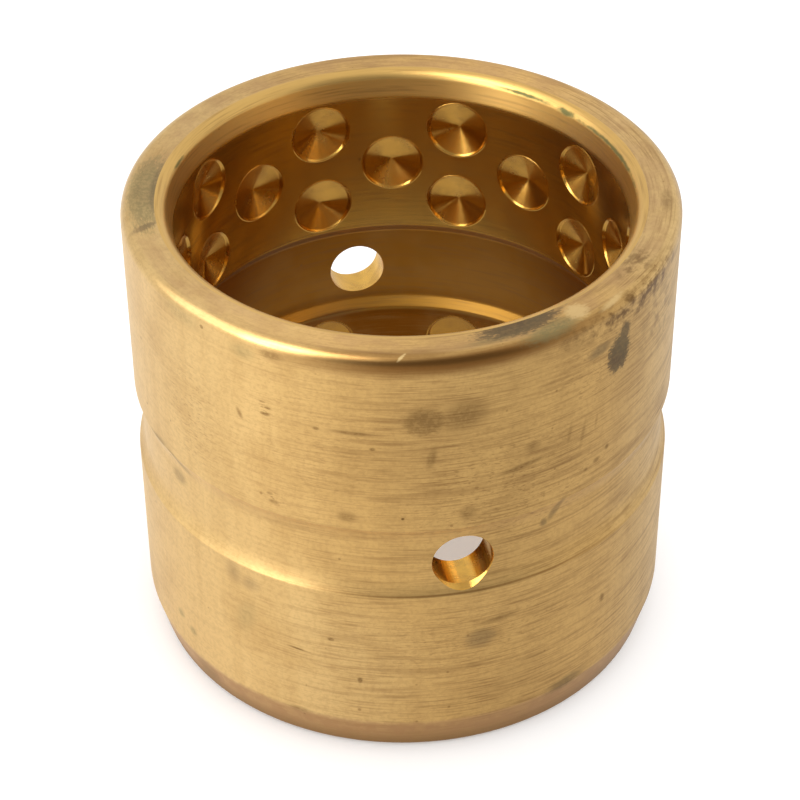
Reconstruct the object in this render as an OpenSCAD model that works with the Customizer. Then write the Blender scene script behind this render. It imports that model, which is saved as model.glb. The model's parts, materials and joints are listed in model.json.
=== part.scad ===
// Turned bronze pin bushing with grease grooves, grease holes and cone-shaped grease pockets.
// The axis is +Z and the origin is the middle of the bottom end face.

/* [Bush] */
// Outside diameter of the press-fit wall
outer_d = 110; // [90:1:150]
// Thickness of the wall between that and the running bore
wall = 10; // [8:0.5:16]
// Length over both end faces
length = 100; // [84:1:150]

/* [Ends] */
// Radius of the rounded outer edge at the top end
top_edge_r = 2.1; // [0.5:0.1:3]
// Length of the outside taper that leads the bottom end into its housing
press_lead_l = 9; // [5:0.5:12]
// Radius of the rounded outer edge at the foot of that taper
foot_edge_r = 2; // [0.4:0.1:2.4]
// Length of the taper at each mouth of the bore
bore_lead_l = 5.5; // [3:0.5:8]
// Radius of the rounded edge at each mouth of the bore
mouth_edge_r = 2.4; // [0.5:0.1:3]
// Angle of the outside and inside tapers, measured from the axis
taper_angle = 15; // [8:1:18]

/* [Grease grooves] */
// Height of the middle of both grooves above mid-length
groove_rise = 1; // [-3:0.5:3]
// Width of the outer groove at the wall
outer_groove_w = 17; // [14:0.5:30]
// Depth of the outer groove
outer_groove_depth = 1.25; // [0.6:0.05:2]
// Axial length of each sloping side of the outer groove
outer_groove_side = 2; // [0.8:0.1:2.4]
// Radius of the hollow where each side runs into the floor of the outer groove
outer_groove_root_r = 7; // [0.5:0.5:7]
// Width of the inner groove at the bore
inner_groove_w = 22; // [18:0.5:30]
// Depth of the inner groove
inner_groove_depth = 1.6; // [0.6:0.1:2.5]
// Axial length of each sloping side of the inner groove
inner_groove_side = 2.2; // [0.8:0.1:3]
// Radius of the hollow where each side runs into the floor of the inner groove
inner_groove_root_r = 1; // [0.5:0.5:4]
// Radius of the softened groove edges
groove_edge_r = 0.8; // [0.2:0.1:1.5]

/* [Grease holes] */
// Diameter of the two opposite grease holes
hole_d = 12; // [6:0.5:13]
// Width of the chamfer above and below each hole in the floor of the outer groove
hole_chamfer = 0.3; // [0.2:0.05:0.8]

/* [Grease pockets] */
// Diameter of a pocket
pocket_d = 13; // [8:0.5:14]
// Depth of the cone at the bottom of a pocket
pocket_depth = 1.7; // [0.8:0.1:3]
// Diameter of the small flat at the point of the cone
pocket_tip_d = 0.8; // [0.4:0.1:2]
// Number of pocket columns around the bore
pocket_columns = 18; // [10:2:22]
// Axial distance from one row of pockets to the next
row_pitch = 9; // [7:0.5:14]
// Narrowest plain strip left between a pocket and a groove or taper
pocket_margin = 0.7; // [0.2:0.1:3]
// Angle by which the second half turn of columns is set on from the first
column_slip = 2; // [0:0.5:4]

/* [Hidden] */
$fn = 96;

// Reach of a cutting shape past the surface that it starts from
over = 1;
// Oversize of a rounding, so that it crosses the two sides that it joins and leaves no sliver
hair = 0.0002;
outer_r = outer_d / 2;
bore_r = outer_r - wall;
groove_z = length / 2 + groove_rise;
hole_z = length / 2;
outer_floor_r = outer_r - outer_groove_depth;

// Angle of the holes' chamfer, measured from the axis of the hole
chamfer_angle = 30;

// Where the tapers would meet the end faces before their edges are rounded
foot_r = outer_r - press_lead_l * tan(taper_angle);
mouth_r = bore_r + bore_lead_l * tan(taper_angle);

// Directions in the section along the surfaces that meet at an edge, leading away from it
inward = [-1, 0];
outward = [1, 0];
down = [0, -1];
up = [0, 1];
up_taper = [sin(taper_angle), cos(taper_angle)];
up_mouth = [-sin(taper_angle), cos(taper_angle)];

// The plain lands of the bore below and above the inner groove, which carry the pockets
lands = [
    [bore_lead_l, groove_z - inner_groove_w / 2],
    [groove_z + inner_groove_w / 2, length - bore_lead_l]
];
column_pitch = 360 / pocket_columns;
half_turn = pocket_columns / 2;

// Number of rows that fit on a land, and the height of one of them
function row_count(land) =
    1 + max(0, floor((land[1] - land[0] - 2 * pocket_margin - pocket_d) / row_pitch));
function row_z(land, row) =
    (land[0] + land[1]) / 2 + (row - (row_count(land) - 1) / 2) * row_pitch;

// Columns start half a pitch before the hole at +Y, and the second half turn is set on by the slip
function column_angle(column) =
    90 + (column - 0.5) * column_pitch + (column < half_turn ? 0 : column_slip);

// Angle between two unit directions
function angle_between(a, b) = acos(a * b);

// What a rounding of radius r takes off an edge of the section, where a and b run into its two sides
module edge_round(edge, a, b, r) {
    half = angle_between(a, b) / 2;
    bisector = (a + b) / norm(a + b);
    centre = bisector * r / sin(half);
    across_a = a / tan(half) - bisector / sin(half);
    across_b = b / tan(half) - bisector / sin(half);
    translate(edge)
        difference() {
            polygon([
                centre,
                centre + across_a * (r + over),
                -bisector * 2 * over,
                centre + across_b * (r + over)
            ]);
            translate(centre) circle(r + hair);
        }
}

// A groove in the section with sloping sides that run into its floor in a hollow.
// The depth is negative where the groove is cut towards the axis.
module groove_section(r, w, depth, side, root_r) {
    past = -sign(depth) * over;
    slope = side / abs(depth);
    slant = [depth, side] / norm([depth, side]);
    half = angle_between(up, -slant) / 2;

    // The hollow ends below the softened edge, so the side limits its radius
    free_side = norm([depth, side]) - groove_edge_r / tan(half);
    hollow_r = min(root_r, 0.98 * free_side * tan(half));

    translate([r, groove_z])
        difference() {
            polygon([
                [past, -w / 2 - slope * over],
                [depth, -w / 2 + side],
                [depth, w / 2 - side],
                [past, w / 2 + slope * over]
            ]);
            for (flip = [0, 1])
                mirror([0, flip])
                    edge_round([depth, -w / 2 + side], up, -slant, hollow_r);
        }
}

// What softening takes off the two edges of a groove
module groove_edges(r, w, depth, side) {
    slant = [depth, side] / norm([depth, side]);
    translate([r, groove_z])
        for (flip = [0, 1])
            mirror([0, flip])
                edge_round([0, -w / 2], down, slant, groove_edge_r);
}

// The wall cut through on one side of the axis
module section() {
    difference() {
        translate([bore_r, 0]) square([wall, length]);

        // Outside taper at the bottom end
        polygon([
            [foot_r - over * tan(taper_angle), -over],
            [outer_r + over * tan(taper_angle), -over],
            [outer_r + over * tan(taper_angle), press_lead_l + over]
        ]);
        edge_round([foot_r, 0], inward, up_taper, foot_edge_r);

        // Rounded outer edge at the top end
        edge_round([outer_r, length], inward, down, top_edge_r);

        // Tapered and rounded mouths of the bore
        bore_mouth();
        translate([0, length]) mirror([0, 1]) bore_mouth();

        // Grease grooves outside and inside
        groove_section(
            outer_r, outer_groove_w, -outer_groove_depth, outer_groove_side, outer_groove_root_r
        );
        groove_edges(outer_r, outer_groove_w, -outer_groove_depth, outer_groove_side);
        groove_section(
            bore_r, inner_groove_w, inner_groove_depth, inner_groove_side, inner_groove_root_r
        );
        groove_edges(bore_r, inner_groove_w, inner_groove_depth, inner_groove_side);
    }
}

// What is cut away at the bottom mouth of the bore
module bore_mouth() {
    polygon([
        [bore_r - over * tan(taper_angle), -over],
        [mouth_r + over * tan(taper_angle), -over],
        [bore_r - over * tan(taper_angle), bore_lead_l + over]
    ]);
    edge_round([mouth_r, 0], outward, up_mouth, mouth_edge_r);
}

// One drilled grease hole towards +X with its chamfer in the floor of the outer groove
module grease_hole() {
    chamfer_start = outer_floor_r - hole_chamfer / tan(chamfer_angle);
    chamfer_l = outer_r + over - chamfer_start;
    translate([0, 0, hole_z])
        rotate([0, 90, 0]) {
            cylinder(h = outer_r + over, d = hole_d);
            translate([0, 0, chamfer_start])
                cylinder(
                    h = chamfer_l, d1 = hole_d, d2 = hole_d + 2 * chamfer_l * tan(chamfer_angle)
                );
        }
}

// One pocket towards +X: a straight wall of the cutter's diameter and a flat cone
module pocket() {
    rotate([0, 90, 0]) {
        translate([0, 0, bore_r - pocket_d / 2]) cylinder(h = pocket_d / 2, d = pocket_d);
        translate([0, 0, bore_r]) cylinder(h = pocket_depth, d1 = pocket_d, d2 = pocket_tip_d);
    }
}

// Staggered pockets: even columns hold the odd rows of each land, odd columns the even rows
module pockets() {
    for (land = lands)
        for (column = [0 : pocket_columns - 1])
            for (row = [0 : row_count(land) - 1])
                if ((row + column) % 2 == 1)
                    rotate([0, 0, column_angle(column)])
                        translate([0, 0, row_z(land, row)])
                            pocket();
}

module bushing() {
    color("#b9904a")
        difference() {
            rotate_extrude() section();
            for (side = [90, -90])
                rotate([0, 0, side]) grease_hole();
            pockets();
        }
}

bushing();
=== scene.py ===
# %% [markdown]
# # A turned bronze bushing
# The object is a plain bearing: a thick bronze sleeve that is pressed into a housing and carries a
# pin. It was turned from one blank, so its looks are those of a lathe: tapers, rounded edges, two
# shallow grease grooves, and rows of cone-shaped pockets that hold grease for the pin.
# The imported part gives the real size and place. Everything below is worked in millimetres, as on a
# drawing, and is brought to metres once, when a mesh is finished.

import json
from math import acos, atan2, degrees, hypot, pi, radians, sin, sqrt, tan

import bmesh
import bpy
from mathutils import Matrix, Vector


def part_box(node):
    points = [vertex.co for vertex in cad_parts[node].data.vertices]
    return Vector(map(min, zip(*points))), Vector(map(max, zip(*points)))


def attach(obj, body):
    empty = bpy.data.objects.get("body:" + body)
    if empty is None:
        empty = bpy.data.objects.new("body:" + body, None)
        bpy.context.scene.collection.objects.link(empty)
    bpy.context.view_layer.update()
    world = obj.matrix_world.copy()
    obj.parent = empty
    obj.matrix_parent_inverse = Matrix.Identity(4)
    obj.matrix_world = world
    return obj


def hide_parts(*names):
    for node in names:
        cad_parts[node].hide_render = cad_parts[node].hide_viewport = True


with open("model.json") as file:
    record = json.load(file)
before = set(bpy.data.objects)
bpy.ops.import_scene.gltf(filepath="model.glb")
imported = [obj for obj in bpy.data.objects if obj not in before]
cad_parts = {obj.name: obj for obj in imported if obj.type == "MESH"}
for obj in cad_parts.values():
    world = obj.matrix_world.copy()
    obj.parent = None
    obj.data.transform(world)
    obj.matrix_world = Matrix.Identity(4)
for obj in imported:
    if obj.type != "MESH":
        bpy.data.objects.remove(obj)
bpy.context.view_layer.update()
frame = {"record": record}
MM = 0.001
mounts = {mount["name"]: mount for mount in frame["record"]["mounts"]}
low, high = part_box("bushing")
length = (high.z - low.z) / MM
outer_r = mounts["press_wall"]["dims"]["r_mm"]
bore_r = mounts["bore"]["dims"]["r_mm"]
hole_r = mounts["grease_hole_back"]["dims"]["r_mm"]
hole_z = mounts["grease_hole_back"]["pos_m"][2] / MM
print(f"bushing: outside {2 * outer_r:.1f}, bore {2 * bore_r:.1f}, length {length:.1f} mm")

# %% [markdown]
# ## Camera
# The photograph was taken from a little over arm's length with a long lens, looking down into the
# bore. The lens and the camera's place come first, so that each later step can be compared with it.

# %% Camera
camera_data = bpy.data.cameras.new("camera")
camera_data.sensor_width = 36
camera_data.lens = 110.894
camera = bpy.data.objects.new("camera", camera_data)
camera.location = Vector((-87.166, -396.454, 364.282)) * MM
camera.rotation_euler = (radians(52.1005), radians(0.2519), radians(-12.5297))
bpy.context.scene.collection.objects.link(camera)
bpy.context.scene.camera = camera
print(f"camera: {camera.location.length:.3f} m from the foot of the axis")

# %% [markdown]
# ## The section that is turned
# A turned piece is best drawn as its section: the wall cut through on one side of the axis. The
# corners are listed once round, up the outside and down the inside, each with the radius of its
# rounding. They could be rounded with a bevel after the spin, but rounding the flat section is
# cheaper and gives clean rings: a vertex bevel slides along both sides of a corner and lays an arc
# between.

# %% Sizes of the section
taper_angle = 15
taper = tan(radians(taper_angle))
press_lead = 9
bore_lead = 5.5
groove_z = length / 2 + 1
top_edge = 2.1
foot_edge = 2
mouth_edge = 2.4
groove_edge = 0.8
taper_edge = 2.5
foot_r = outer_r - press_lead * taper
mouth_r = bore_r + bore_lead * taper


def groove_corners(wall_r, width, depth, side, root):
    """Corners of a groove from its lower edge to its upper one; depth is negative towards the axis."""
    floor_r = wall_r + depth
    half = width / 2
    return [
        (wall_r, groove_z - half, groove_edge),
        (floor_r, groove_z - half + side, root),
        (floor_r, groove_z + half - side, root),
        (wall_r, groove_z + half, groove_edge),
    ]


inner_groove_w = 22
outer_groove = groove_corners(outer_r, width=17, depth=-1.25, side=2, root=7)
inner_groove = groove_corners(bore_r, width=inner_groove_w, depth=1.6, side=2.2, root=1)
corners = [
    (foot_r, 0, foot_edge),
    (outer_r, press_lead, taper_edge),
    *outer_groove,
    (outer_r, length, top_edge),
    (mouth_r, length, mouth_edge),
    (bore_r, length - bore_lead, taper_edge),
    *reversed(inner_groove),
    (bore_r, bore_lead, taper_edge),
    (mouth_r, 0, mouth_edge),
]
print(f"section: {len(corners)} corners")

# %% Draw the section and round its corners
degrees_per_facet = 5


def round_corner(bm, vert, radius):
    """Lays an arc of that radius in a corner of a flat face."""
    sides = [edge.other_vert(vert).co - vert.co for edge in vert.link_edges]
    opening = acos(sides[0].normalized().dot(sides[1].normalized()))
    facets = max(2, round((pi - opening) / radians(degrees_per_facet)))
    bmesh.ops.bevel(
        bm, geom=[vert], offset=radius / tan(opening / 2), offset_type="OFFSET",
        segments=facets, profile=0.5, affect="VERTICES", material=-1,
    )


bush = bmesh.new()
section = [bush.verts.new((r, 0, z)) for r, z, _ in corners]
bush.faces.new(section)
for vert, (_, _, radius) in zip(section, corners):
    round_corner(bush, vert, radius)
print(f"section: {len(bush.verts)} points with the corners rounded")

# %% [markdown]
# ## Where the grease pockets go
# Each land of the bore, below and above the inner groove, carries three rows of pockets, and the
# columns take the odd and the even rows in turn. To cut a pocket cleanly, the wall gets a grid: the
# section is sliced at even heights before it is spun, and each pocket later takes out a square block
# of that grid.

# %% Layout of the pockets
column_count = 18
column_slip = 2
first_column = 80
row_pitch = 9
rows_per_land = 3
lands = [
    (bore_lead, groove_z - inner_groove_w / 2),
    (groove_z + inner_groove_w / 2, length - bore_lead),
]
column_angles = [
    first_column + 360 / column_count * column + (0 if column < column_count / 2 else column_slip)
    for column in range(column_count)
]


def row_heights(land):
    """Heights of the rows of pockets on a land."""
    middle = sum(land) / 2
    return [middle + (row - (rows_per_land - 1) / 2) * row_pitch for row in range(rows_per_land)]


pocket_places = [
    (angle, z)
    for land in lands
    for column, angle in enumerate(column_angles)
    for row, z in enumerate(row_heights(land))
    if (row + column) % 2 == 1
]
print(f"pockets: {len(pocket_places)}")

# %% Slice the section and spin it
slice_angle = 2
slice_count = 360 // slice_angle
block_cells = 9
cells_per_pitch = 6
cell_h = row_pitch / cells_per_pitch
block_half_h = block_cells * cell_h / 2
block_half_angle = block_cells * slice_angle / 2
for land in lands:
    heights = row_heights(land)
    lowest = heights[0] - block_half_h
    cuts = round((heights[-1] - heights[0]) / cell_h) + block_cells
    for cut in range(cuts + 1):
        bmesh.ops.bisect_plane(
            bush, geom=bush.verts[:] + bush.edges[:] + bush.faces[:],
            plane_co=(0, 0, lowest + cut * cell_h), plane_no=(0, 0, 1),
        )
inside_edges = [edge for edge in bush.edges if not edge.is_boundary]
bmesh.ops.delete(bush, geom=inside_edges, context="EDGES_FACES")
bmesh.ops.delete(bush, geom=bush.faces[:], context="FACES_ONLY")
bmesh.ops.rotate(
    bush, verts=bush.verts[:], cent=(0, 0, 0),
    matrix=Matrix.Rotation(radians(slice_angle / 2), 3, "Z"),
)
bmesh.ops.spin(
    bush, geom=bush.verts[:] + bush.edges[:], cent=(0, 0, 0), axis=(0, 0, 1),
    dvec=(0, 0, 0), angle=2 * pi, steps=slice_count, use_merge=True,
)
print(f"blank: {len(bush.faces)} faces")

# %% [markdown]
# ## One pocket
# A pocket was made by a drill with a very flat point: a shallow cone with a small flat at its tip and
# a low lip round it, where the drill raised the metal. A Boolean would leave a ragged rim on the
# curved bore. So a short line is spun to a cone whose outer rings are seated on the bore. Its outermost
# ring has as many points as the frame of the block of grid cells that it replaces, so a bridge between
# the two is all neat four-sided faces. The block is made once and copied to each place.

# %% Make one block of the bore with its pocket
TURNED, BORED, CUT = range(3)
pocket_r = 6.5
pocket_depth = 1.7
tip_r = 0.4
rim_out = 6.7
rim_in = 5.95
rim_rings = 10
cone_rings = 4
lip_w = 0.5
lip_h = 0.07


def cone_x(rho):
    """How far the cone lies from the axis of the bush."""
    return bore_r + pocket_depth * (pocket_r - rho) / (pocket_r - tip_r)


def share_of(value, start, end):
    """How far a value has gone from start to end, between 0 and 1."""
    return min(1, max(0, (value - start) / (end - start)))


def seat_on_bore(vert):
    """Leads a pocket from the bore over the low lip that the drill raised, then in an S into the cone."""
    rho = hypot(vert.co.y, vert.co.z)
    share = share_of(rho, rim_out - lip_w / 2, rim_in)
    ease = share * share * (3 - 2 * share)
    lip = lip_h * sin(pi * share_of(rho, rim_out, rim_out - lip_w)) ** 2
    bore_x = sqrt(bore_r ** 2 - vert.co.y ** 2)
    vert.co.x = bore_x + (cone_x(rho) - bore_x) * ease - lip


def open_edges(bm):
    """Edges with a face on one side only."""
    return [edge for edge in bm.edges if edge.is_boundary]


tile = bmesh.new()
rim_radii = [rim_out + (rim_in - rim_out) * ring / rim_rings for ring in range(rim_rings)]
cone_radii = [rim_in + (tip_r - rim_in) * ring / cone_rings for ring in range(cone_rings + 1)]
line = [tile.verts.new((0, rho, 0)) for rho in rim_radii + cone_radii]
line_edges = [tile.edges.new(pair) for pair in zip(line, line[1:])]
bmesh.ops.rotate(tile, verts=line, cent=(0, 0, 0), matrix=Matrix.Rotation(pi / 4, 3, "X"))
bmesh.ops.spin(
    tile, geom=line + line_edges, cent=(0, 0, 0), axis=(1, 0, 0), dvec=(0, 0, 0),
    angle=2 * pi, steps=4 * block_cells, use_merge=True,
)
rim = [edge for edge in open_edges(tile) if hypot(edge.verts[0].co.y, edge.verts[0].co.z) > pocket_r]
tip = [edge for edge in open_edges(tile) if edge not in rim]
bmesh.ops.edgeloop_fill(tile, edges=tip)
for vert in tile.verts:
    seat_on_bore(vert)
cone_faces = tile.faces[:]

cells = bmesh.ops.create_grid(tile, x_segments=block_cells, y_segments=block_cells, size=1)["verts"]
for vert in cells:
    aside = Matrix.Rotation(vert.co.x * radians(block_half_angle), 3, "Z")
    vert.co = aside @ Vector((bore_r, 0, vert.co.y * block_half_h))
cell_faces = list({face for vert in cells for face in vert.link_faces})
bmesh.ops.delete(tile, geom=cell_faces, context="FACES_KEEP_BOUNDARY")
block_frame = [edge for edge in tile.edges if edge.is_wire]
bmesh.ops.bridge_loops(tile, edges=rim + block_frame)
for face in tile.faces:
    face.material_index = CUT if face in cone_faces else BORED


def map_rings(bm, across, around):
    """Gives a drilled shape a UV map: u runs across the rings that the cutter left, v round them."""
    rings = bm.loops.layers.uv.new("rings")
    for face in bm.faces:
        start = around(face.calc_center_median())
        for loop in face.loops:
            turn = (around(loop.vert.co) - start + pi) % (2 * pi) - pi
            loop[rings].uv = (across(loop.vert.co), start + turn)


map_rings(tile, across=lambda at: hypot(at.y, at.z), around=lambda at: atan2(at.z, at.y))
print(f"one pocket: {len(cone_faces)} faces in the cone, {len(tile.faces)} with its block, "
      f"{len(open_edges(tile))} edges round it")

# %% Take the blocks out of the blank and set the pockets in
tile_mesh = bpy.data.meshes.new("pocket block")
tile.to_mesh(tile_mesh)
hair = 0.01
weld = 0.001


def turn_from(centre, angle):
    """Angle in degrees from a direction round the axis to a point, between -180 and 180."""
    across = Matrix.Rotation(-radians(angle), 3, "Z") @ centre
    return degrees(atan2(across.y, across.x))


def in_a_block(face):
    """Whether a face lies on the running bore where a pocket goes."""
    if any(abs(hypot(vert.co.x, vert.co.y) - bore_r) > hair for vert in face.verts):
        return False
    centre = face.calc_center_median()
    return any(
        abs(centre.z - z) < block_half_h and abs(turn_from(centre, angle)) < block_half_angle
        for angle, z in pocket_places
    )


blocks = [face for face in bush.faces if in_a_block(face)]
bmesh.ops.delete(bush, geom=blocks, context="FACES")
for angle, z in pocket_places:
    placed = tile_mesh.copy()
    placed.transform(Matrix.Translation((0, 0, z)) @ Matrix.Rotation(radians(angle), 4, "Z"))
    bush.from_mesh(placed)
    bpy.data.meshes.remove(placed)
bmesh.ops.remove_doubles(bush, verts=bush.verts[:], dist=weld)
bmesh.ops.recalc_face_normals(bush, faces=bush.faces[:])
print(f"pocketed blank: {len(bush.faces)} faces, {len(open_edges(bush))} open edges, "
      f"{bush.calc_volume() / 1000:.2f} cm3")

# %% [markdown]
# ## The grease holes
# Two holes face each other at mid-length. They were drilled straight through both walls and their
# outer edges were broken with a countersink. Such a hole meets the groove's floor and its sloping
# side in a curve that no ring of the lathe follows, so here a Boolean is the right tool. The drill is
# a spun line too, long enough to pass through both walls, with a flare at each end.

# %% Drill the holes
finishes = [bpy.data.materials.new(name) for name in ("turned_bronze", "bored_bronze", "cut_bronze")]
hole_chamfer = 0.3
flare_angle = 30
flare = tan(radians(flare_angle))
drill_steps = 72
past_wall = 3


def mesh_object(name, bm):
    """A new object in the scene that wears the three finishes and holds the shape of a bmesh."""
    mesh = bpy.data.meshes.new(name)
    bm.to_mesh(mesh)
    for finish in finishes:
        mesh.materials.append(finish)
    made = bpy.data.objects.new(name, mesh)
    bpy.context.scene.collection.objects.link(made)
    return made


flare_y = outer_groove[1][0] - hole_chamfer / flare
end_y = flare_y + past_wall
end_r = hole_r + past_wall * flare
far_half = [(hole_r, flare_y), (end_r, end_y), (0, end_y)]
drill_line = [(rho, -y) for rho, y in reversed(far_half)] + far_half
drill = bmesh.new()
line = [drill.verts.new((rho, y, hole_z)) for rho, y in drill_line]
line_edges = [drill.edges.new(pair) for pair in zip(line, line[1:])]
bmesh.ops.spin(
    drill, geom=line + line_edges, cent=(0, 0, hole_z), axis=(0, 1, 0), dvec=(0, 0, 0),
    angle=2 * pi, steps=drill_steps, use_merge=True,
)
bmesh.ops.remove_doubles(drill, verts=drill.verts[:], dist=weld)
bmesh.ops.recalc_face_normals(drill, faces=drill.faces[:])
for face in drill.faces:
    face.material_index = CUT
map_rings(drill, across=lambda at: at.y, around=lambda at: atan2(at.z - hole_z, at.x))

blank = mesh_object("blank", bush)
drill_tool = mesh_object("drill", drill)
drilling = blank.modifiers.new("drilling", "BOOLEAN")
drilling.operation = "DIFFERENCE"
drilling.solver = "EXACT"
drilling.object = drill_tool
drilled = bpy.data.meshes.new_from_object(blank.evaluated_get(bpy.context.evaluated_depsgraph_get()))
bush.clear()
bush.from_mesh(drilled)
for tool in (blank, drill_tool):
    bpy.data.objects.remove(tool)
print(f"drilled bush: {len(bush.faces)} faces, {len(open_edges(bush))} open edges, "
      f"{bush.calc_volume() / 1000:.2f} cm3")

# %% [markdown]
# ## From mesh to piece
# The faces are sorted into three finishes, because each was cut in another way: the outside and the
# ends were turned, the bore was bored, and the pockets and holes were cut by a drill. All faces are
# shaded smooth. Long flat bands next to small roundings would then show a false gradient, so a
# Weighted Normal modifier lets the large faces decide, and the crisp edges of the holes stay sharp.

# %% Finish the piece
mouth_half_angle = (90 + taper_angle) / 2
mouth_face_r = mouth_r + mouth_edge / tan(radians(mouth_half_angle))
crisp_angle = 28


def centre_radius(face):
    """Distance of the middle of a face from the axis."""
    centre = face.calc_center_median()
    return hypot(centre.x, centre.y)


for face in bush.faces:
    face.smooth = True
    if face.material_index != CUT:
        face.material_index = BORED if centre_radius(face) < mouth_face_r else TURNED
finish_of = [face.material_index for face in bush.faces]
finish_counts = [finish_of.count(finish) for finish in (TURNED, BORED, CUT)]
bmesh.ops.scale(bush, vec=(MM, MM, MM), verts=bush.verts[:])
piece = mesh_object("turned_bush", bush)
piece.data.set_sharp_from_angle(angle=radians(crisp_angle))
weighting = piece.modifiers.new("weighting", "WEIGHTED_NORMAL")
weighting.mode = "FACE_AREA"
weighting.weight = 100
weighting.keep_sharp = True
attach(piece, "root")
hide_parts("bushing")
triangles = sum(len(polygon.vertices) - 2 for polygon in piece.data.polygons)
print(f"piece: {triangles} triangles; turned, bored and cut faces {finish_counts}")

# %% [markdown]
# ## How the finishes are made
# Old bronze is one metal with a history on it: turning marks, tarnish, stains and pits. Every finish
# is therefore plain bronze with layers laid over it, and each kind of layer is a node group that is
# built once and placed in each finish with its own values. Nodes take many lines to write out, so some
# helpers come first: one adds a node and feeds it, and the others name what is done most often.

# %% Node helpers
def add(tree, kind, inputs=None, **settings):
    """Adds a node with its settings, and feeds its inputs with values or with other nodes' outputs."""
    made = tree.nodes.new("ShaderNode" + kind)
    for name, value in settings.items():
        setattr(made, name, value)
    for key, value in (inputs or {}).items():
        if isinstance(value, bpy.types.NodeSocket):
            tree.links.new(value, made.inputs[key])
        else:
            made.inputs[key].default_value = value
    return made


def calculate(tree, operation, *values):
    """The result of a Math node."""
    return add(tree, "Math", dict(enumerate(values)), operation=operation).outputs[0]


def step_between(tree, value, start, end, low=0.0, high=1.0):
    """A soft step from low to high while a value goes from start to end."""
    inputs = dict(enumerate((value, start, end, low, high)))
    return add(tree, "MapRange", inputs, interpolation_type="SMOOTHSTEP").outputs[0]


def lay_over(tree, share, under, over):
    """A colour laid over another one, where the share is how much it covers."""
    return add(tree, "Mix", {0: share, 6: under, 7: over}, data_type="RGBA").outputs[2]


def weaken(tree, mask, to):
    """A mask at a share of its full strength."""
    return calculate(tree, "MULTIPLY", mask, to)


def swing(tree, level, amount):
    """Noise as a swing of that amount about zero."""
    return calculate(tree, "MULTIPLY_ADD", level, amount, -amount / 2)


def new_group(name, inputs, outputs):
    """A node group with named sockets; gives it with the sockets as they are met inside it."""
    group = bpy.data.node_groups.new(name, "ShaderNodeTree")
    for label, default in inputs.items():
        kind = "NodeSocketVector" if isinstance(default, tuple) else "NodeSocketFloat"
        group.interface.new_socket(label, in_out="INPUT", socket_type=kind).default_value = default
    for label, kind in outputs.items():
        group.interface.new_socket(label, in_out="OUTPUT", socket_type="NodeSocket" + kind)
    return group, group.nodes.new("NodeGroupInput").outputs, group.nodes.new("NodeGroupOutput").inputs


def place(tree, group, **inputs):
    """Places a node group in a material and gives its outputs."""
    named = {name.replace("_", " ").capitalize(): value for name, value in inputs.items()}
    return add(tree, "Group", named, node_tree=group).outputs


print("helpers: nodes, soft steps, layers of colour and groups")

# %% [markdown]
# ## Places on the wall
# A stain has its place on the wall, not in space, so the first group unrolls the wall. Surface is the
# wall laid flat in millimetres, and Point is the place in space with the rise as its height. The rise
# runs on over the end face, so that a stain can run over the edge. A UV map could do this too, but
# here the place follows from the shape alone. The unrolled wall has one seam, which each finish puts
# where no stain lies.

# %% Coordinates round the axis
coordinates, given, result = new_group(
    "Bush coordinates",
    {"Position": (0, 0, 0), "Wall radius": 1.0, "Fold": 1.0, "Seam": -180.0},
    {"Surface": "Vector", "Point": "Vector", "Angle": "Float", "Height": "Float"},
)
to_mm = {0: given["Position"], "Scale": 1 / MM}
in_mm = add(coordinates, "VectorMath", to_mm, operation="SCALE").outputs[0]
along = add(coordinates, "SeparateXYZ", {0: in_mm}).outputs
around = calculate(coordinates, "DEGREES", calculate(coordinates, "ARCTAN2", along["Y"], along["X"]))
seam_end = calculate(coordinates, "ADD", given["Seam"], 360.0)
around = calculate(coordinates, "WRAP", around, seam_end, given["Seam"])
flat = add(coordinates, "CombineXYZ", {"X": along["X"], "Y": along["Y"]}).outputs[0]
radius = add(coordinates, "VectorMath", {0: flat}, operation="LENGTH").outputs["Value"]
inset = calculate(coordinates, "SUBTRACT", given["Wall radius"], radius)
rise = calculate(coordinates, "MULTIPLY_ADD", inset, given["Fold"], along["Z"])
arc = calculate(coordinates, "MULTIPLY", calculate(coordinates, "RADIANS", around), given["Wall radius"])
surface = add(coordinates, "CombineXYZ", {"X": arc, "Y": rise}).outputs[0]
point = add(coordinates, "CombineXYZ", {"X": along["X"], "Y": along["Y"], "Z": rise}).outputs[0]
for label, socket in {"Surface": surface, "Point": point, "Angle": around, "Height": along["Z"]}.items():
    coordinates.links.new(socket, result[label])
print("group: Bush coordinates")

# %% [markdown]
# ## Marks, clouds, pits and patches
# Noise that is divided by a great length round the axis and a small pitch along it is drawn out into
# turning marks. Plain noise is a cloud, and Bare and Full say at which levels it begins and covers.
# Pits come from a Voronoi texture: each cell has a random colour, which decides whether it holds a pit
# and of what size. A patch is a tilted oval at an angle round the axis and a rise up the wall, and noise
# makes its edge ragged. Patches are chained by their Under input and not added up at the end, because
# the renderer then keeps one value at a time and a long row of them stays cheap.

# %% Turning marks and clouds
marks, given, result = new_group(
    "Turning marks", {"Point": (0, 0, 0), "Length": 10.0, "Pitch": 0.5}, {"Level": "Float"}
)
round_and_up = {"X": given["Length"], "Y": given["Length"], "Z": given["Pitch"]}
stretch = add(marks, "CombineXYZ", round_and_up).outputs[0]
stretched = add(marks, "VectorMath", {0: given["Point"], 1: stretch}, operation="DIVIDE").outputs[0]
streak_noise = {"Vector": stretched, "Scale": 1.0, "Detail": 2.0, "Roughness": 0.6}
streak = add(marks, "TexNoise", streak_noise)
marks.links.new(streak.outputs[0], result["Level"])

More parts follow.
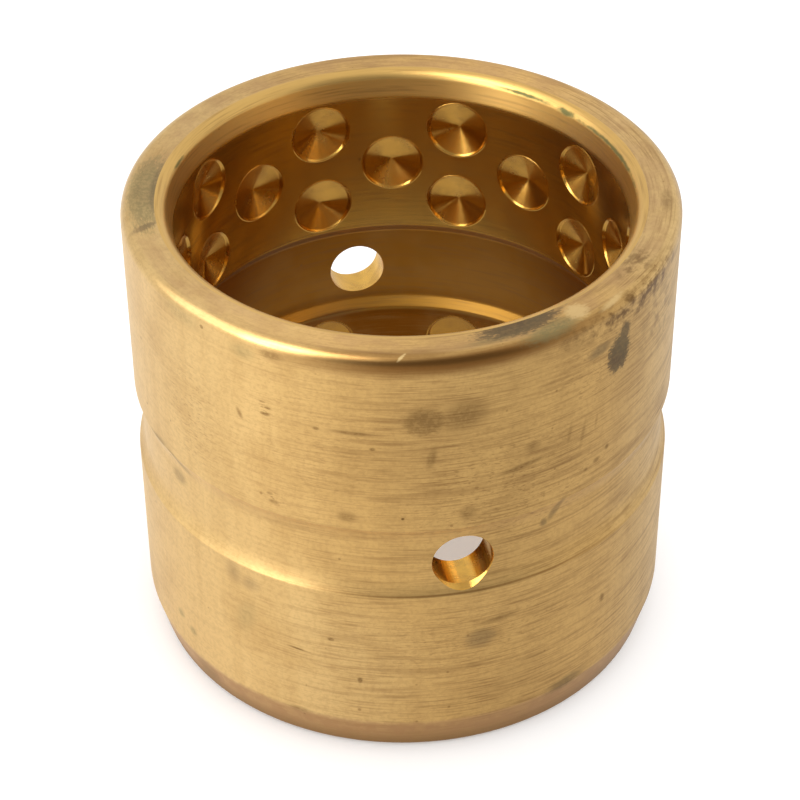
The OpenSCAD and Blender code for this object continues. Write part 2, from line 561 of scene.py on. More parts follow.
cloud, given, result = new_group(
    "Cloud",
    {"Point": (0, 0, 0), "Size": 10.0, "Bare": 0.45, "Full": 0.65},
    {"Level": "Float", "Mask": "Float"},
)
fineness = calculate(cloud, "DIVIDE", 1.0, given["Size"])
cloud_noise = {"Vector": given["Point"], "Scale": fineness, "Detail": 3.0, "Roughness": 0.6}
puff = add(cloud, "TexNoise", cloud_noise)
cloud.links.new(puff.outputs[0], result["Level"])
cloud.links.new(step_between(cloud, puff.outputs[0], given["Bare"], given["Full"]), result["Mask"])
print("groups: Turning marks, Cloud")

# %% Pits and patches
pit_floor = 0.5
pits, given, result = new_group(
    "Pits", {"Point": (0, 0, 0), "Spacing": 4.0, "Share": 0.3, "Size": 0.1}, {"Mask": "Float"}
)
fineness = calculate(pits, "DIVIDE", 1.0, given["Spacing"])
cells = add(pits, "TexVoronoi", {"Vector": given["Point"], "Scale": fineness}).outputs
chance = add(pits, "SeparateColor", {0: cells["Color"]}).outputs
pit_r = calculate(pits, "MULTIPLY", given["Size"], chance["Green"])
pit = step_between(pits, cells["Distance"], pit_r, calculate(pits, "MULTIPLY", pit_r, pit_floor))
chosen = calculate(pits, "LESS_THAN", chance["Red"], given["Share"])
pits.links.new(calculate(pits, "MULTIPLY", pit, chosen), result["Mask"])

patch, given, result = new_group(
    "Patch",
    {"Surface": (0, 0, 0), "Ragged": 0.0, "Middle": (0, 0, 0), "Half size": (1, 1, 1), "Tilt": 0.0,
     "Softness": 0.3, "Strength": 1.0, "Under": 0.0},
    {"Mask": "Float"},
)
upright = add(
    patch, "VectorRotate", {"Vector": given["Surface"], "Center": given["Middle"], "Angle": given["Tilt"]},
    rotation_type="Z_AXIS", invert=True,
).outputs[0]
local = add(patch, "VectorMath", {0: upright, 1: given["Middle"]}, operation="SUBTRACT").outputs[0]
local = add(patch, "VectorMath", {0: local, 1: given["Half size"]}, operation="DIVIDE").outputs[0]
reach = add(patch, "VectorMath", {0: local}, operation="LENGTH").outputs["Value"]
reach = calculate(patch, "ADD", reach, given["Ragged"])
full = calculate(patch, "SUBTRACT", 1.0, given["Softness"])
bare = calculate(patch, "ADD", 1.0, given["Softness"])
oval = step_between(patch, reach, full, bare, low=given["Strength"], high=0.0)
patch.links.new(calculate(patch, "MAXIMUM", given["Under"], oval), result["Mask"])
print("groups: Pits, Patch")


# %% Stains laid as patches
def stain(tree, surface, ragged, wall_r, spots):
    """A mask of all the spots of one kind of stain.

    A spot is its angle round the axis, its rise, its half width and half height in millimetres, its
    tilt in degrees, its softness and its strength.
    """
    whole = 0.0
    for angle, rise, half_w, half_h, tilt, softness, strength in spots:
        whole = place(
            tree, patch, surface=surface, ragged=ragged, middle=(radians(angle) * wall_r, rise, 0),
            half_size=(half_w, half_h, 1), tilt=radians(tilt), softness=softness, strength=strength,
            under=whole,
        )["Mask"]
    return whole


print("stains: rows of patches")

# %% [markdown]
# ## Colours
# Clean bronze is one colour. Oil makes it yellower, a deep brown lies in the inner groove, and tarnish
# and stains make it dull. Some colours are painted light and shade: a paler painted sheen, painted dark
# reflections along edges, and painted shade on the press-in taper and below the inner groove. They could
# be mixed from one colour by nodes, but a list of plain colours is easier to compare with the
# photograph. Metal tints what it reflects, so a colour here is that of the light that comes back from
# something white.

# %% Colours of the metal and of what lies on it
BRONZE = (0.63, 0.392, 0.138, 1)
# Paler bronze, for the painted sheen and for rubbed spots
PALE_BRONZE = (0.69, 0.48, 0.21, 1)
DULL_BRONZE = (0.48, 0.29, 0.10, 1)
PINK_BRONZE = (0.52, 0.31, 0.15, 1)
OILY_BRONZE = (0.68, 0.42, 0.085, 1)
# Deep brown of the inner groove; on the pockets below the groove it is a painted shade
GROOVE_BROWN = (0.31, 0.115, 0.009, 1)
# Painted shade of the land below the inner groove
PAINTED_SHADE_BROWN = (0.20, 0.065, 0.004, 1)
BROWN = (0.28, 0.15, 0.05, 1)
STAIN_BROWN = (0.19, 0.10, 0.032, 1)
# Brown of the painted dark reflection along the edges
EDGE_SHADE_BROWN = (0.20, 0.085, 0.02, 1)
AMBER = (0.74, 0.43, 0.09, 1)
SOOT = (0.165, 0.11, 0.06, 1)
OLIVE = (0.24, 0.20, 0.09, 1)
TARNISH = (0.42, 0.24, 0.11, 1)
# Painted shade of the press-in taper, which looks down at the shadow by the foot
TAPER_SHADE_BRONZE = (0.40, 0.215, 0.085, 1)
GREEN = (0.10, 0.12, 0.05, 1)
print(f"colours: bare bronze is {BRONZE[:3]}")

# %% [markdown]
# ## The turned outside
# The outside carries the story of the part. Fine turning marks run round it, stronger towards the
# right, where the wall is also browner. A painted sheen makes the wall paler towards the window, on the
# side opposite and further round on its lower half. A painted dark reflection lies along the top corner
# and the lower edge of the groove. Stains and specks lie on the wall, each in the place where the
# photograph shows one. The press-in taper is painted browner and darker as shade, where it looks down at
# the shadow by the foot, and its foot is painted darker still. The top edge was rubbed smooth by
# handling, so it is less rough than the wall beside it. One painted picture could carry all this, but a
# spot with its own numbers can be moved or left out, and it stays sharp however near the camera comes.
# Marks that are finer than a pixel still draw a highlight out across them. The shader's anisotropy does
# that, with a tangent that runs round the axis.

# %% Soot on the outside
soot_spots = [
    # Blot under the top corner at the right, with its tail and a smear beside it
    (-54.8, 88.2, 3.0, 4.2, -8, 0.2, 1.0),
    (-53.4, 92.2, 1.6, 2.2, -10, 0.3, 0.9),
    (-60.6, 91.6, 2.8, 1.2, 8, 0.5, 0.6),
    # Smear over the top face at the front
    (-76.5, 105.8, 9.5, 2.6, 4, 0.3, 1.0),
    # Flecks at the upper side of the groove, right of the hole
    (-69.5, 57.9, 0.8, 2.4, -35, 0.5, 0.5),
    (-72.2, 55.8, 0.8, 0.9, 0, 0.5, 0.55),
    # Streaks along the groove at the left
    (-164.6, 59.4, 4.6, 0.9, 12, 0.6, 0.5),
    (-156.4, 59.0, 3.6, 0.8, -14, 0.6, 0.5),
    (-157.4, 54.8, 2.2, 1.6, 0, 0.6, 0.45),
    # Soft blots under the groove, and one under the hole
    (-139.8, 39.8, 1.6, 2.3, 10, 0.9, 0.4),
    (-135.6, 38.6, 1.8, 1.4, 20, 0.9, 0.4),
    (-86.4, 30.2, 3.0, 2.2, 10, 0.5, 0.45),
    # Smears on the press-in taper
    (-151.0, 6.2, 3.2, 2.2, 0, 0.6, 0.4),
    (-65.4, 9.6, 4.2, 1.3, 6, 0.6, 0.6),
    # Top face at the left
    (-178.6, 104.0, 0.9, 3.0, 30, 0.5, 0.55),
    (-195.5, 106.4, 9.0, 0.7, 0, 0.6, 0.5),
]
print(f"spots of soot: {len(soot_spots)}")

# %% Brown spots on the outside
brown_spots = [
    # Two blots on the upper wall at the front, with a run below them
    (-98.2, 85.8, 3.9, 3.0, 0, 0.3, 0.62),
    (-90.6, 86.4, 4.2, 3.2, 20, 0.6, 0.5),
    (-96.8, 77.2, 0.8, 2.3, -12, 0.5, 0.45),
    # Dash and dot at their right
    (-78.2, 71.6, 4.7, 0.5, 9, 0.6, 0.6),
    (-76.2, 75.6, 1.5, 1.1, 0, 0.6, 0.45),
    # Upright scratches at the right, and the dots below them
    (-67.6, 75.4, 0.35, 2.1, -8, 0.7, 0.3),
    (-64.2, 73.6, 0.4, 2.6, -10, 0.7, 0.35),
    (-60.6, 75.2, 0.3, 1.6, -6, 0.7, 0.3),
    (-60.0, 65.2, 0.8, 0.5, 10, 0.6, 0.65),
    (-57.0, 66.9, 0.5, 0.6, 0, 0.6, 0.65),
    (-62.9, 64.3, 0.5, 0.35, 0, 0.6, 0.55),
    # Specks on the upper wall at the left
    (-135.8, 81.2, 0.45, 1.2, 25, 0.6, 0.6),
    (-129.9, 83.2, 0.9, 0.35, 0, 0.5, 0.8),
    (-129.2, 84.8, 0.7, 0.25, 0, 0.5, 0.65),
    (-130.4, 85.9, 0.6, 0.2, 0, 0.5, 0.6),
    (-128.8, 62.4, 1.0, 0.4, 0, 0.6, 0.6),
    (-129.6, 64.2, 0.6, 0.3, 0, 0.6, 0.55),
    # Single specks, dashes and dull spots of the upper wall
    (-119.2, 82.8, 0.6, 0.35, 0, 0.5, 0.7),
    (-108.2, 79.4, 0.5, 0.35, 0, 0.5, 0.7),
    (-89.6, 63.0, 1.5, 1.6, 0, 0.6, 0.45),
    (-128.0, 97.2, 2.2, 0.9, 0, 0.6, 0.6),
    (-112.0, 82.8, 3.6, 0.4, -2, 0.7, 0.7),
    (-113.4, 62.6, 1.6, 1.1, 0, 0.6, 0.45),
    # Scratch and specks of the lower wall
    (-124.8, 25.6, 1.9, 0.25, -5, 0.5, 0.8),
    (-117.4, 30.2, 0.7, 0.4, 0, 0.4, 0.7),
    (-111.4, 20.2, 0.5, 0.7, 0, 0.4, 0.75),
    # Small marks elsewhere
    (-102.4, 62.8, 0.35, 0.35, 0, 0.3, 0.9),
    (-144.4, 97.4, 0.4, 0.4, 0, 0.4, 0.8),
    (-55.6, 26.8, 0.7, 1.0, 0, 0.5, 0.6),
    (-124.8, 8.9, 2.2, 0.6, 0, 0.7, 0.5),
    (-82.6, 34.4, 3.6, 0.6, 6, 0.7, 0.55),
    (-16.0, 103.0, 3.8, 1.1, 0, 0.5, 0.5),
]
print(f"brown spots: {len(brown_spots)}")

# %% Other spots on the outside
edge_shade_spots = [
    # Painted dark reflection along the top corner, and a darker painted shade where the corner highlight
    # ends
    (-90.0, 98.9, 27.0, 2.2, 1.5, 0.65, 0.95),
    (-106.0, 100.8, 13.5, 1.8, 0, 0.4, 0.55),
    # Painted dark reflection along the lower edge of the groove
    (-88.0, 43.0, 28.0, 0.3, 0, 0.5, 0.55),
]
olive_spots = [
    # Edge of the smear on the top face
    (-71.4, 101.6, 6.0, 2.2, 8, 0.5, 0.8),
    (-83.0, 103.4, 6.0, 0.8, 4, 0.6, 0.45),
    # Dull places of the upper and the lower wall
    (-134.4, 96.0, 2.2, 1.5, 0, 0.8, 0.4),
    (-150.6, 97.2, 4.6, 1.4, 0, 0.8, 0.3),
    (-137.0, 29.4, 1.9, 3.8, -20, 0.8, 0.3),
    (-159.0, 16.4, 1.1, 0.9, 0, 0.6, 0.5),
    (-154.4, 14.6, 1.1, 0.9, 0, 0.6, 0.5),
    # Top face at the left
    (-192.4, 104.6, 14.0, 3.2, 0, 0.3, 0.7),
]
corroded_spots = [
    # Corroded corner at the right
    (-50.0, 97.6, 17.0, 3.2, 0, 0.7, 1.0),
    (-42.0, 104.2, 6.0, 2.6, 0, 0.7, 0.7),
    (-38.0, 88.0, 8.0, 7.0, 0, 0.8, 0.45),
]
speckled_spots = [
    # Broad speckled places
    (-82.0, 68.0, 22.0, 16.0, 0, 0.8, 0.75),
    (-62.0, 88.0, 12.0, 10.0, 0, 0.8, 0.6),
    (-88.0, 30.0, 22.0, 10.0, 0, 0.9, 0.55),
    (-118.0, 78.0, 20.0, 18.0, 0, 0.9, 0.35),
    # Crowded specks at the left
    (-129.6, 84.2, 1.7, 1.8, 0, 0.7, 1.0),
    (-128.4, 63.2, 2.0, 1.9, 0, 0.7, 1.0),
    (-149.0, 74.0, 9.0, 13.0, 0, 0.9, 0.5),
]
rubbed_spots = [
    # Bright metal at the right end of the smear, and a nick in the top corner
    (-64.0, 103.6, 2.4, 2.0, 0, 0.4, 0.9),
    (-56.0, 101.2, 3.0, 0.7, 8, 0.6, 0.8),
    (-102.6, 100.9, 0.3, 1.2, -35, 0.4, 1.0),
]
other_spots = edge_shade_spots + olive_spots + corroded_spots + speckled_spots + rubbed_spots
print(f"other spots: {len(other_spots)}")


# %% Open the turned finish
def start_finish(finish, **placing):
    """Opens a finish, and gives its nodes, its shader and the place on the bush."""
    finish.use_nodes = True
    tree = finish.node_tree
    spot = add(tree, "TexCoord").outputs["Object"]
    return tree, tree.nodes["Principled BSDF"], place(tree, coordinates, position=spot, **placing)


def end_finish(tree, shader, stretch, turn, **looks):
    """Feeds a metal's shader; stretch draws its highlights out, and turn swings their direction."""
    for name, socket in looks.items():
        tree.links.new(socket, shader.inputs[name.replace("_", " ").title()])
    shader.inputs["Metallic"].default_value = 1
    shader.inputs["Anisotropic"].default_value = stretch
    shader.inputs["Anisotropic Rotation"].default_value = turn


tree, shader, place_on = start_finish(finishes[TURNED], wall_radius=outer_r, seam=-270.0)
surface, point = place_on["Surface"], place_on["Point"]
fine = place(tree, marks, point=point, length=9.0, pitch=0.4)["Level"]
broad = place(tree, marks, point=point, length=22.0, pitch=1.5)["Level"]
dash = place(tree, marks, point=point, length=1.4, pitch=0.4)["Level"]
band = place(tree, marks, point=point, length=5.0, pitch=60.0)["Level"]
grain = place(tree, cloud, point=point, size=0.9, bare=0.44, full=0.62)
mottle = place(tree, cloud, point=point, size=2.6, bare=0.40, full=0.64)
haze = place(tree, cloud, point=point, size=8.0, bare=0.36, full=0.66)
drift = place(tree, cloud, point=point, size=19.0, bare=0.42, full=0.68)
ragged = calculate(tree, "ADD", swing(tree, grain["Level"], 1.1), swing(tree, dash, 0.9))
print(f"turned bronze: {len(tree.nodes)} nodes for place, marks and clouds")

# %% Pale sides and turning marks
# Painted sheen: paler towards the window and on the opposite side, and further round on the lower half
window_side = -185
opposite_side = -10
rise_here = add(tree, "SeparateXYZ", {0: surface}).outputs["Y"]
off_window_side = calculate(tree, "RADIANS", calculate(tree, "SUBTRACT", place_on["Angle"], window_side))
facing_window = calculate(tree, "COSINE", off_window_side)
streaky = step_between(tree, facing_window, 0.82, -0.05, low=0.22)
lower_wall = step_between(tree, place_on["Height"], 55.0, 25.0, high=0.3)
painted_sheen = step_between(tree, calculate(tree, "ADD", facing_window, lower_wall), 0.17, 0.82, high=0.75)
off_opposite_side = calculate(tree, "RADIANS", calculate(tree, "SUBTRACT", place_on["Angle"], opposite_side))
opposite_sheen = step_between(tree, calculate(tree, "COSINE", off_opposite_side), 0.64, 0.93, high=0.7)
painted_sheen = calculate(tree, "MAXIMUM", painted_sheen, opposite_sheen)

# Painted sheen, then dull drifts and bands, then broad and fine marks, weak where the wall is pale
colour = lay_over(tree, painted_sheen, BRONZE, PALE_BRONZE)
colour = lay_over(tree, weaken(tree, drift["Mask"], to=0.4), colour, DULL_BRONZE)
colour = lay_over(tree, step_between(tree, band, 0.4, 0.7, high=0.24), colour, DULL_BRONZE)
share = calculate(tree, "MULTIPLY", step_between(tree, broad, 0.5, 0.74, high=0.42), streaky)
colour = lay_over(tree, share, colour, BROWN)
patchy = step_between(tree, drift["Level"], 0.4, 0.62, low=0.5)
share = calculate(tree, "MULTIPLY", step_between(tree, fine, 0.44, 0.74, high=0.7), streaky)
colour = lay_over(tree, calculate(tree, "MULTIPLY", share, patchy), colour, BROWN)
colour = lay_over(tree, weaken(tree, grain["Mask"], to=0.15), colour, BROWN)
print(f"turned bronze: {len(tree.nodes)} nodes with the metal and its marks")

# %% Tarnish, press-in taper and pits
# The end face is tarnished in clouds. The taper gets a browner, darker painted shade that ends in a
# wavering line, and its foot a darker painted shade
end_face = step_between(tree, rise_here, length + 1.5, length + 2.5)
tarnish = weaken(tree, calculate(tree, "MULTIPLY", end_face, haze["Mask"]), to=0.4)
colour = lay_over(tree, tarnish, colour, TARNISH)
lead = calculate(tree, "ADD", swing(tree, mottle["Level"], 3.0), place_on["Height"])
shade_breakup = step_between(tree, mottle["Level"], 0.35, 0.62, low=0.75)
share = calculate(tree, "MULTIPLY", step_between(tree, lead, 9.5, 7.5, high=0.9), shade_breakup)
colour = lay_over(tree, share, colour, TAPER_SHADE_BRONZE)
colour = lay_over(tree, step_between(tree, lead, 6.0, 0.6, high=0.85), colour, BROWN)
small_pits = place(tree, pits, point=point, spacing=3.4, share=0.3, size=0.14)["Mask"]
colour = lay_over(tree, weaken(tree, small_pits, to=0.6), colour, BROWN)
print(f"turned bronze: {len(tree.nodes)} nodes with tarnish, taper and pits")

# %% Stains laid on the turned outside
# Grain breaks the stains up, and the bright rubbed places come last
broken = step_between(tree, grain["Level"], 0.36, 0.60, low=0.7)
brown = calculate(tree, "MULTIPLY", stain(tree, surface, ragged, outer_r, brown_spots), broken)
olive = calculate(tree, "MULTIPLY", stain(tree, surface, ragged, outer_r, olive_spots), broken)
soot = stain(tree, surface, ragged, outer_r, soot_spots)
corroded = stain(tree, surface, ragged, outer_r, corroded_spots)
speckled = stain(tree, surface, ragged, outer_r, speckled_spots)
rubbed = stain(tree, surface, ragged, outer_r, rubbed_spots)
speckles = calculate(tree, "MULTIPLY", speckled, step_between(tree, dash, 0.54, 0.72))
colour = lay_over(tree, speckles, colour, BROWN)
# Painted dark reflection along the top corner and the groove's lower edge, laid on as colour
colour = lay_over(tree, stain(tree, surface, 0.0, outer_r, edge_shade_spots), colour, EDGE_SHADE_BROWN)
colour = lay_over(tree, brown, colour, STAIN_BROWN)
colour = lay_over(tree, olive, colour, OLIVE)
colour = lay_over(tree, calculate(tree, "MULTIPLY", corroded, mottle["Mask"]), colour, STAIN_BROWN)
sooty = lay_over(tree, weaken(tree, haze["Mask"], to=0.2), SOOT, OLIVE)
flaked = step_between(tree, grain["Level"], 0.36, 0.60, low=0.86)
colour = lay_over(tree, calculate(tree, "MULTIPLY", soot, flaked), colour, sooty)
colour = lay_over(tree, rubbed, colour, PALE_BRONZE)
stained = calculate(tree, "MAXIMUM", calculate(tree, "MAXIMUM", brown, olive), soot)
print(f"turned bronze: {len(tree.nodes)} nodes with the stains")

# %% Gloss and relief of the turned outside
TURNED_ROUGHNESS = 0.44
edge_gloss = 0.14
stain_dulls = 0.16
marks_dull = 0.12
mark_depth = 0.04
pit_sink = -0.6
ACROSS_MARKS = 0.25
off_edge = calculate(tree, "ABSOLUTE", calculate(tree, "SUBTRACT", rise_here, length + 0.3))
roughness = step_between(tree, off_edge, 0.8, 2.6, TURNED_ROUGHNESS - edge_gloss, TURNED_ROUGHNESS)
roughness = calculate(tree, "MULTIPLY_ADD", stained, stain_dulls, roughness)
roughness = calculate(tree, "ADD", swing(tree, fine, marks_dull), roughness)
relief = calculate(tree, "MULTIPLY", fine, streaky)
relief = calculate(tree, "MULTIPLY_ADD", small_pits, pit_sink, relief)
bump = add(tree, "Bump", {"Height": relief, "Strength": 0.3, "Distance": mark_depth * MM})
round_the_axis = add(tree, "Tangent", direction_type="RADIAL", axis="Z").outputs[0]
end_finish(
    tree, shader, stretch=0.6, turn=ACROSS_MARKS,
    base_color=colour, roughness=roughness, normal=bump.outputs[0], tangent=round_the_axis,
)
print("material: turned bronze")

# %% [markdown]
# ## The bored inside
# The bore was finished smoother than the outside and wears a thin film of oil, so light goes from wall
# to wall and comes back a deep amber. The inner groove is laid over with a deep brown, the land below it
# with a darker painted shade, and dark green stains sit where the rounded mouth meets its taper. A low
# roughness alone would leave the groove as bright as the lands, so the film and the groove's brown are
# colours laid over the metal.

# %% Spots in the bore
green_spots = [
    (43.5, 100.2, 5.0, 0.5, 0, 0.6, 0.85),
    (30.0, 100.2, 2.2, 0.8, 0, 0.6, 0.85),
    (8.0, 100.0, 12.0, 0.5, 0, 0.6, 0.8),
    (151.5, 100.2, 2.6, 0.4, 0, 0.6, 0.7),
]
# Painted shade lines along the lower and the upper edge of the inner groove
groove_edge_shade_spots = [
    (97.0, 40.0, 5.0, 0.7, 0, 0.9, 0.8),
    (110.0, 61.5, 12.0, 0.5, 0, 0.9, 0.5),
]
bore_pink_spots = [
    (8.0, 92.0, 14.0, 7.0, 0, 0.8, 0.5),
]
print(f"spots in the bore: {len(green_spots + groove_edge_shade_spots + bore_pink_spots)}")

# %% Oil and grease in the bore
mouth_start = length - bore_lead
groove_foot = groove_z - inner_groove_w / 2
tree, shader, place_on = start_finish(finishes[BORED], wall_radius=bore_r, fold=-1.0, seam=-100.0)
surface, point = place_on["Surface"], place_on["Point"]
fine = place(tree, marks, point=point, length=14.0, pitch=0.7)["Level"]
grain = place(tree, cloud, point=point, size=1.6, bare=0.55, full=0.75)
drift = place(tree, cloud, point=point, size=15.0, bare=0.4, full=0.7)
ragged = swing(tree, grain["Level"], 1.6)
mouth = step_between(tree, place_on["Height"], mouth_start - 1, mouth_start + 1, high=0.7)
colour = lay_over(tree, mouth, OILY_BRONZE, BRONZE)
off_groove = calculate(tree, "ABSOLUTE", calculate(tree, "SUBTRACT", place_on["Height"], groove_z))
groove_dark = step_between(tree, off_groove, inner_groove_w / 2 + 0.9, inner_groove_w / 2 - 0.2, high=0.85)
over_foot = step_between(tree, place_on["Height"], groove_foot + 1.6, groove_foot + 3, low=0.65)
groove_dark = calculate(tree, "MULTIPLY", groove_dark, over_foot)
colour = lay_over(tree, groove_dark, colour, GROOVE_BROWN)
# Painted shade over the land below the inner groove
below = step_between(tree, place_on["Height"], groove_foot + 0.4, groove_foot - 1)
colour = lay_over(tree, below, colour, PAINTED_SHADE_BROWN)
print(f"bored bronze: {len(tree.nodes)} nodes for oil and grease")

# %% Marks, pits and stains in the bore
colour = lay_over(tree, weaken(tree, drift["Mask"], to=0.2), colour, DULL_BRONZE)
colour = lay_over(tree, step_between(tree, fine, 0.46, 0.76, high=0.45), colour, BROWN)
small_pits = place(tree, pits, point=point, spacing=4.5, share=0.25, size=0.1)["Mask"]
colour = lay_over(tree, weaken(tree, small_pits, to=0.7), colour, BROWN)
colour = lay_over(tree, stain(tree, surface, ragged, bore_r, bore_pink_spots), colour, PINK_BRONZE)
# Painted shade lines along the edges of the inner groove
colour = lay_over(tree, stain(tree, surface, ragged, bore_r, groove_edge_shade_spots), colour, BROWN)
green = stain(tree, surface, ragged, bore_r, green_spots)
colour = lay_over(tree, green, colour, GREEN)
print(f"bored bronze: {len(tree.nodes)} nodes with marks and stains")

# %% Gloss and relief of the bore
BORED_ROUGHNESS = 0.22
bore_marks_dull = 0.1
bore_mark_depth = 0.03
roughness = calculate(tree, "ADD", swing(tree, fine, bore_marks_dull), BORED_ROUGHNESS)
for dulled, amount in ((green, 0.3), (mouth, 0.2), (groove_dark, 0.14)):
    roughness = calculate(tree, "MULTIPLY_ADD", dulled, amount, roughness)
off_foot = calculate(tree, "ABSOLUTE", calculate(tree, "SUBTRACT", place_on["Height"], groove_foot + 1))
roughness = calculate(tree, "ADD", step_between(tree, off_foot, 4.0, 1.2, high=0.2), roughness)
bump = add(tree, "Bump", {"Height": fine, "Strength": 0.2, "Distance": bore_mark_depth * MM})
round_the_axis = add(tree, "Tangent", direction_type="RADIAL", axis="Z").outputs[0]
end_finish(
    tree, shader, stretch=0.5, turn=ACROSS_MARKS,
    base_color=colour, roughness=roughness, normal=bump.outputs[0], tangent=round_the_axis,
)
print("material: bored bronze")

# %% [markdown]
# ## The cut pockets and holes
# The drill left fine rings in the pockets and holes, which draw each highlight out across them, so a
# cone shows bright fans that meet at its tip. The rings could be modelled or drawn as bump, but they are
# finer than a pixel, and the shader's anisotropy gives their effect without noise. Which way the rings
# run is read from the UV map "rings", where u goes across them and v round them.

# %% Cut bronze
tree, shader, place_on = start_finish(finishes[CUT], wall_radius=bore_r)
film = place(tree, cloud, point=place_on["Point"], size=4.0, bare=0.42, full=0.7)
colour = lay_over(tree, weaken(tree, film["Mask"], to=0.3), AMBER, DULL_BRONZE)
# Painted shade on the pockets of the land below the inner groove
low_down = step_between(tree, place_on["Height"], groove_foot + 1, groove_foot - 2, high=0.45)
colour = lay_over(tree, low_down, colour, GROOVE_BROWN)
across_rings = add(tree, "Tangent", direction_type="UV_MAP", uv_map="rings").outputs[0]
roughness = step_between(tree, film["Level"], 0.35, 0.7, low=0.22, high=0.28)
end_finish(
    tree, shader, stretch=0.95, turn=0.0, base_color=colour, roughness=roughness, tangent=across_rings,
)
print("material: cut bronze")

# %% [markdown]
# ## Floor, surround and light
# The bush stands on white paper in a white tent with a window at the left. Metal shows what is round
# it, so the tent matters more than the lamps. It could be modelled as walls, but a world that changes
# with direction is simpler and casts no shadow. It is white all round, apart from the side where the
# camera stands, which is darker in reflections. That side gives the rounded edges their brown lines. In
# the metal the paper is brighter towards the window. Paper and tent light each other softly, so the only
# shadow is a narrow one at the foot.

# %% Paper floor
floor_size = 2000
floor_drop = 0.05
paper_white = 0.85
paper_glow = 0.2
glow_in_metal = 0.40
window_azimuth = -185
paper_near_window = 0.60
paper_off_window = 0.36
paper_fade = 130


def direction(azimuth, elevation):
    """Unit vector from the axis towards an azimuth and an elevation in degrees."""
    turn = Matrix.Rotation(radians(azimuth), 3, "Z") @ Matrix.Rotation(radians(-elevation), 3, "Y")
    return turn @ Vector((1, 0, 0))


sheet = bmesh.new()
bmesh.ops.create_grid(sheet, x_segments=1, y_segments=1, size=floor_size / 2 * MM)
bmesh.ops.translate(sheet, verts=sheet.verts[:], vec=(0, 0, -floor_drop * MM))
floor_mesh = bpy.data.meshes.new("floor")
sheet.to_mesh(floor_mesh)
floor = bpy.data.objects.new("floor", floor_mesh)
bpy.context.scene.collection.objects.link(floor)

paper = bpy.data.materials.new("paper")
paper.use_nodes = True
tree = paper.node_tree
tree.nodes.clear()
spot = add(tree, "TexCoord").outputs["Object"]
to_window = add(tree, "VectorMath", {0: spot, 1: direction(window_azimuth, 0)}, operation="DOT_PRODUCT")
in_metal = step_between(
    tree, to_window.outputs["Value"], -paper_fade * MM, paper_fade * MM, paper_off_window, paper_near_window
)
path = add(tree, "LightPath").outputs
paper_shades = {"Factor": path["Is Glossy Ray"], "A": paper_white, "B": in_metal}
shade = add(tree, "Mix", paper_shades).outputs["Result"]
matte = add(tree, "BsdfDiffuse", {"Color": shade})
glow_level = calculate(tree, "MULTIPLY", path["Is Camera Ray"], paper_glow)
glow_level = calculate(tree, "MULTIPLY_ADD", path["Is Glossy Ray"], glow_in_metal, glow_level)
glow = add(tree, "Emission", {"Color": (1, 1, 1, 1), "Strength": glow_level})
both = add(tree, "AddShader", {0: matte.outputs[0], 1: glow.outputs[0]})
add(tree, "OutputMaterial", {"Surface": both.outputs[0]})
floor_mesh.materials.append(paper)
print("floor: white paper")

# %% White tent
fill_level = 1.4
dark_azimuth = -102.4
dark_level = 0.35
dark_left = (-33, -39)
dark_right = (30, 72)
dark_top = (50, 72)


def seen_directly(tree):
    """1 for rays from the camera, a reflection or a clear pane, and 0 for light that falls on things."""
    path = add(tree, "LightPath").outputs
    seen = calculate(tree, "MAXIMUM", path["Is Camera Ray"], path["Is Glossy Ray"])
    return calculate(tree, "MAXIMUM", seen, path["Is Transmission Ray"])


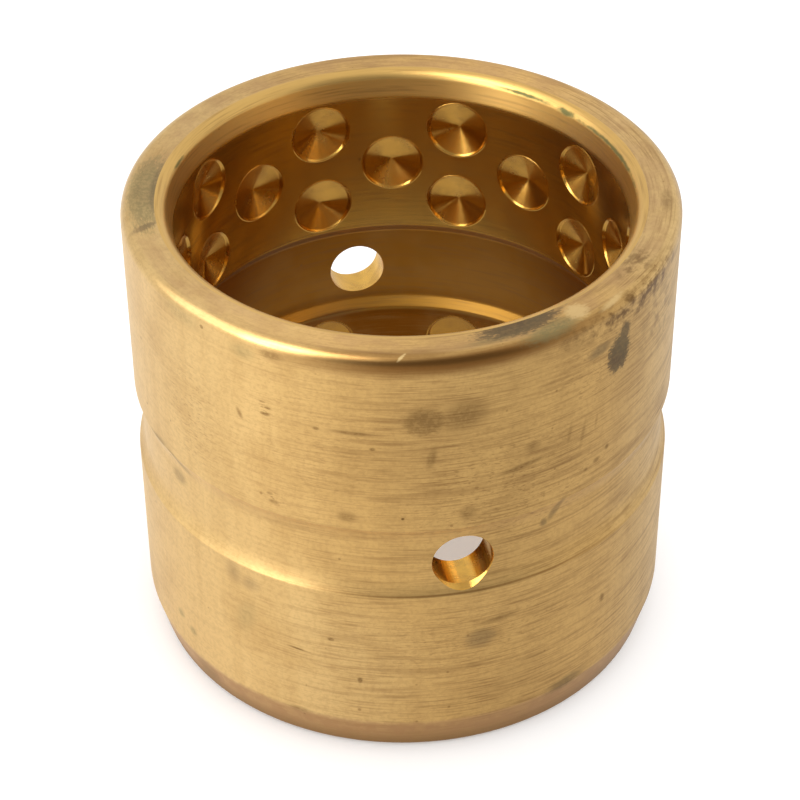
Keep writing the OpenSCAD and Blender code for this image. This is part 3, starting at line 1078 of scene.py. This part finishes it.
tent = bpy.data.worlds.new("tent")
bpy.context.scene.world = tent
tent.use_nodes = True
tree = tent.node_tree
tree.nodes.clear()
look = add(tree, "TexCoord").outputs["Generated"]
from_dark = {"Vector": look, "Angle": radians(-dark_azimuth)}
turned_look = add(tree, "VectorRotate", from_dark, rotation_type="Z_AXIS").outputs[0]
parts = add(tree, "SeparateXYZ", {0: turned_look}).outputs
aside = calculate(tree, "DEGREES", calculate(tree, "ARCTAN2", parts["Y"], parts["X"]))
lifted = calculate(tree, "DEGREES", calculate(tree, "ARCSINE", parts["Z"]))
past_left, past_right = (step_between(tree, aside, *side) for side in (dark_left, dark_right))
off_side = calculate(tree, "MAXIMUM", past_left, past_right)
clear = calculate(tree, "MAXIMUM", off_side, step_between(tree, lifted, *dark_top))
dimmed = step_between(tree, clear, 0.0, 1.0, low=dark_level)
path = add(tree, "LightPath").outputs
reflected = add(tree, "Mix", {"Factor": path["Is Glossy Ray"], "A": 1.0, "B": dimmed}).outputs["Result"]
level = add(tree, "Mix", {"Factor": seen_directly(tree), "A": fill_level, "B": reflected}).outputs["Result"]
sky = add(tree, "Background", {"Color": (1, 1, 1, 1), "Strength": level})
add(tree, "OutputWorld", {"Surface": sky.outputs[0]})
print("tent: white, darker behind the camera")

# %% [markdown]
# ## Lamps
# Two soft lamps make the window: a broad one, and a narrow bright one at its edge towards the camera.
# Together they draw the bright lines along the top corner and the groove, which end where the window
# ends. One strong lamp could do that, but it would bleach the wall beside the lines. The lamps are
# kept from lighting matte things, so the paper stays evenly white.

# %% Lamps
def softbox(name, azimuth, elevation, distance, width, height, power):
    """A rectangular studio lamp that faces the middle of the bush; the sizes are in millimetres."""
    lamp = bpy.data.lights.new(name, "AREA")
    lamp.shape = "RECTANGLE"
    lamp.size = width * MM
    lamp.size_y = height * MM
    lamp.energy = power
    made = bpy.data.objects.new(name, lamp)
    outwards = direction(azimuth, elevation)
    made.location = (Vector((0, 0, length / 2)) + outwards * distance) * MM
    made.rotation_euler = (-outwards).to_track_quat("-Z", "Y").to_euler()
    made.visible_diffuse = False
    bpy.context.scene.collection.objects.link(made)


softbox("window", azimuth=-172, elevation=44, distance=900, width=1150, height=1000, power=5.2)
softbox("window edge", azimuth=-155, elevation=44, distance=900, width=380, height=1100, power=6.0)
print("lamps: a window at the left with a bright edge")

# %% [markdown]
# ## Colours
# The Standard view shows each colour as it is written, where Blender's usual view would soften the
# bright metal.

# %% Colours as they are written
bpy.context.scene.view_settings.view_transform = "Standard"
